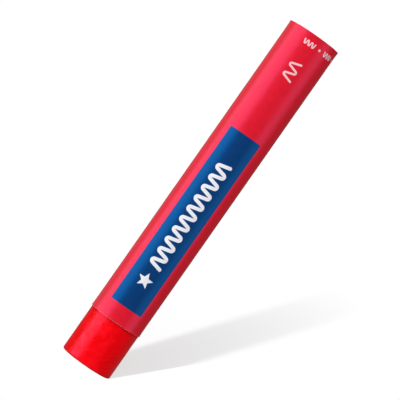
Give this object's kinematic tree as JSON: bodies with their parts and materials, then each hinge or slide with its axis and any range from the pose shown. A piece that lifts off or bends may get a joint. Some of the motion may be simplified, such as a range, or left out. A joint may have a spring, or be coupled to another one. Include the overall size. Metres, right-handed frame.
{
  "type": "oil pastel crayon",
  "caption": "Round oil-pastel crayon: a flat-ended wax and oil stick in a sliding rolled paper sleeve with a printed panel and plain printed marks.",
  "frame": {"origin": "middle of the flat drawing face", "axes": "+Z along the stick from the drawing face to the papered back end; the printed panel faces -Y"},
  "size_m": [0.011, 0.0112, 0.0765],
  "materials": {
    "pastel": "satin",
    "sleeve_paper": "satin",
    "adhesive": "satin",
    "blue_ink": "satin",
    "white_ink": "satin"
  },
  "bodies": {
    "stick": {"pastel_stick": "pastel"},
    "sleeve": {"paper_sleeve": "sleeve_paper", "seam_adhesive": "adhesive", "panel_ink": "blue_ink", "panel_scribble": "white_ink", "wave_mark": "white_ink", "band_marks": "white_ink"}
  },
  "joints": [
    {"name": "sleeve_slide", "type": "slide", "parent": "stick", "child": "sleeve", "axis": [0, 0, 1], "range_m": [-0.01, 0.03]}
  ]
}
